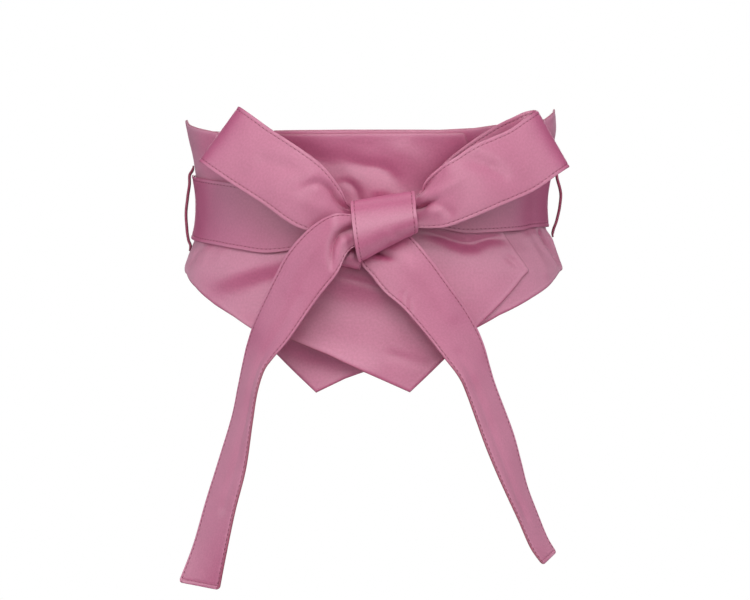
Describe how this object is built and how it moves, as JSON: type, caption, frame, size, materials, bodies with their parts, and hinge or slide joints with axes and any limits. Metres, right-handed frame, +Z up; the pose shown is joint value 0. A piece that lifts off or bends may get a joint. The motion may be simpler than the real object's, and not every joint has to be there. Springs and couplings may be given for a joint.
{
  "type": "self-tie belt",
  "caption": "Wide satin wrap belt in its worn, hollow form: pointed front panels cross over a plain back, and a topstitched sash runs through side carriers and ties in a front bow.",
  "frame": {"origin": "the middle of the hollow at the height of the waist, where the wearer holds the belt", "axes": "+Z up the wearer, the front with the bow towards -Y, +X to the right as the belt is looked at from the front"},
  "size_m": [0.256, 0.2101, 0.3144],
  "materials": {
    "satin_panel": "dusty rose satin, soft sheen, fine weave",
    "satin_sash": "dusty rose satin, soft sheen, stitched along both edges",
    "satin_carrier": "folded satin strip"
  },
  "bodies": {
    "root": {"front_over": "satin_panel", "front_under": "satin_panel", "back": "satin_panel", "sash_waist": "satin_sash", "bow_loop_left": "satin_sash", "bow_loop_right": "satin_sash", "tail_left": "satin_sash", "tail_right": "satin_sash", "knot": "satin_sash", "knot_under": "satin_sash", "carrier_left": "satin_carrier", "carrier_right": "satin_carrier"}
  },
  "joints": []
}
